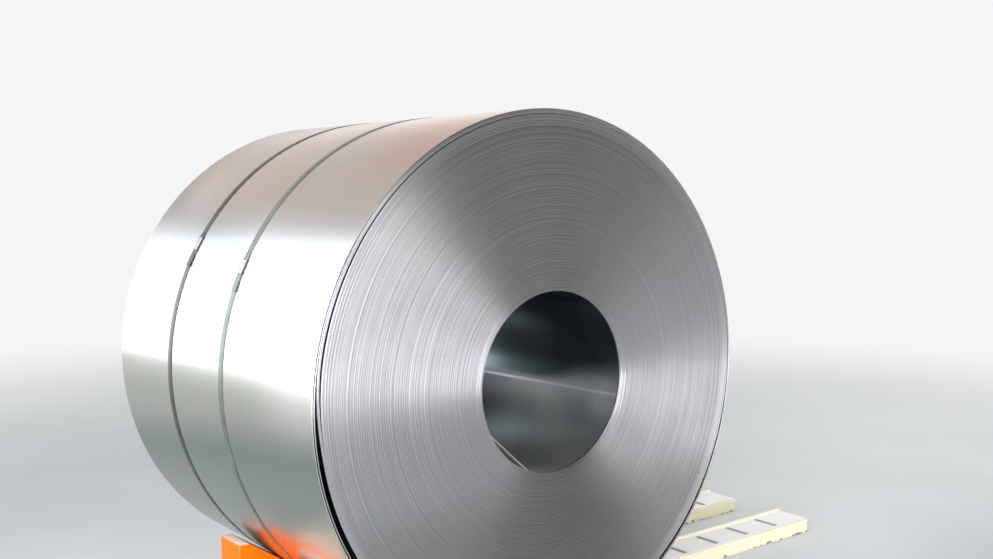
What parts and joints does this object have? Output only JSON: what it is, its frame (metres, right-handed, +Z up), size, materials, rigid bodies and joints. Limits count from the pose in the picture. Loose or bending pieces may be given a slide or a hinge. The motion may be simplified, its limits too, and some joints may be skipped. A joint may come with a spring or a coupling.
{
  "type": "steel coil",
  "caption": "Wound coil of bright steel strip, strapped and lying with its bore level on orange wedge chocks across pale grooved floor rails",
  "frame": {"origin": "on the floor, under the middle of the coil's length and of the rails' length", "axes": "+Z up, +Y along the coil's axis from its loose end to its far end, +X along the rails to the right as the loose end is faced"},
  "size_m": [4, 1.5, 1.9061],
  "materials": {
    "strip": "satin",
    "band": "satin",
    "seal": "satin",
    "chock": "matte",
    "rail": "gloss"
  },
  "bodies": {
    "root": {"coil": "strip", "strap_front": "band", "strap_rear": "band", "seal_front": "seal", "seal_rear": "seal", "chock_front_left": "chock", "chock_front_right": "chock", "chock_rear_left": "chock", "chock_rear_right": "chock", "rail_front": "rail", "rail_rear": "rail"}
  },
  "joints": []
}
